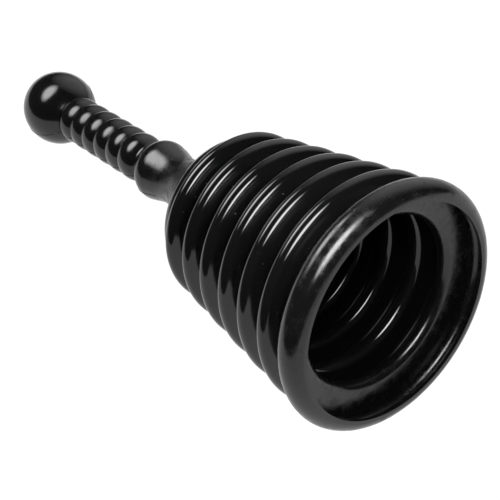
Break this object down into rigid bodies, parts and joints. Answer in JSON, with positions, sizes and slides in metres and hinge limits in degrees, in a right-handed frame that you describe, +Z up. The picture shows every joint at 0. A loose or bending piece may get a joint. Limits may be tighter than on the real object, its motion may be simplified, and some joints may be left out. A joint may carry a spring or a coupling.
{
  "type": "toilet plunger",
  "caption": "Bellows toilet plunger in glossy black plastic with a ball-ended ringed grip and a wide rolled mouth.",
  "frame": {"origin": "centre of the mouth's flat rest land, on the plane that the plunger stands on", "axes": "+Z up the handle along the axis of revolution; +X and +Y are any two square directions across the mouth, and the handle tilts about Y"},
  "size_m": [0.14, 0.14, 0.3523],
  "materials": {
    "bellows_plastic": "glossy black, flexible moulding",
    "handle_plastic": "glossy black, hollow moulding",
    "plug_plastic": "matt black",
    "gasket_rubber": "matt",
    "washer_steel": "stainless",
    "screw_steel": "stainless"
  },
  "bodies": {
    "mouth": {"mouth_rim": "bellows_plastic", "bellows_web_6": "bellows_plastic"},
    "fold_6": {"bellows_fold_6": "bellows_plastic", "bellows_web_5": "bellows_plastic"},
    "fold_5": {"bellows_fold_5": "bellows_plastic", "bellows_web_4": "bellows_plastic"},
    "fold_4": {"bellows_fold_4": "bellows_plastic", "bellows_web_3": "bellows_plastic"},
    "fold_3": {"bellows_fold_3": "bellows_plastic", "bellows_web_2": "bellows_plastic"},
    "fold_2": {"bellows_fold_2": "bellows_plastic", "bellows_web_1": "bellows_plastic"},
    "fold_1": {"bellows_fold_1": "bellows_plastic", "crown_web": "bellows_plastic"},
    "handle": {"crown_plate": "bellows_plastic", "handle_shell": "handle_plastic", "handle_base_plug": "plug_plastic", "crown_gasket": "gasket_rubber", "clamp_washer": "washer_steel", "fixing_screw": "screw_steel"}
  },
  "joints": [
    {"name": "plunge", "type": "slide", "parent": "mouth", "child": "fold_6", "axis": [0, 0, 1], "range_m": [-0.006, 0], "stiffness_N_per_m": 18000, "deforming": ["bellows_web_6"]},
    {"name": "plunge_fold_5", "type": "slide", "parent": "fold_6", "child": "fold_5", "axis": [0, 0, 1], "range_m": [-0.006, 0], "stiffness_N_per_m": 18000, "deforming": ["bellows_web_5"]},
    {"name": "plunge_fold_4", "type": "slide", "parent": "fold_5", "child": "fold_4", "axis": [0, 0, 1], "range_m": [-0.006, 0], "stiffness_N_per_m": 18000, "deforming": ["bellows_web_4"]},
    {"name": "plunge_fold_3", "type": "slide", "parent": "fold_4", "child": "fold_3", "axis": [0, 0, 1], "range_m": [-0.006, 0], "stiffness_N_per_m": 18000, "deforming": ["bellows_web_3"]},
    {"name": "plunge_fold_2", "type": "slide", "parent": "fold_3", "child": "fold_2", "axis": [0, 0, 1], "range_m": [-0.006, 0], "stiffness_N_per_m": 18000, "deforming": ["bellows_web_2"]},
    {"name": "plunge_fold_1", "type": "slide", "parent": "fold_2", "child": "fold_1", "axis": [0, 0, 1], "range_m": [-0.006, 0], "stiffness_N_per_m": 18000, "deforming": ["bellows_web_1"]},
    {"name": "handle_tilt", "type": "hinge", "parent": "fold_1", "child": "handle", "pos_m": [0, 0, 0.1445], "axis": [0, 1, 0], "range_deg": [-6, 6], "stiffness_Nm_per_rad": 20, "deforming": ["crown_web"]}
  ],
  "couplings": [
    {"joint": "plunge_fold_5", "follows": "plunge", "ratio": 1},
    {"joint": "plunge_fold_4", "follows": "plunge", "ratio": 1},
    {"joint": "plunge_fold_3", "follows": "plunge", "ratio": 1},
    {"joint": "plunge_fold_2", "follows": "plunge", "ratio": 1},
    {"joint": "plunge_fold_1", "follows": "plunge", "ratio": 1}
  ]
}
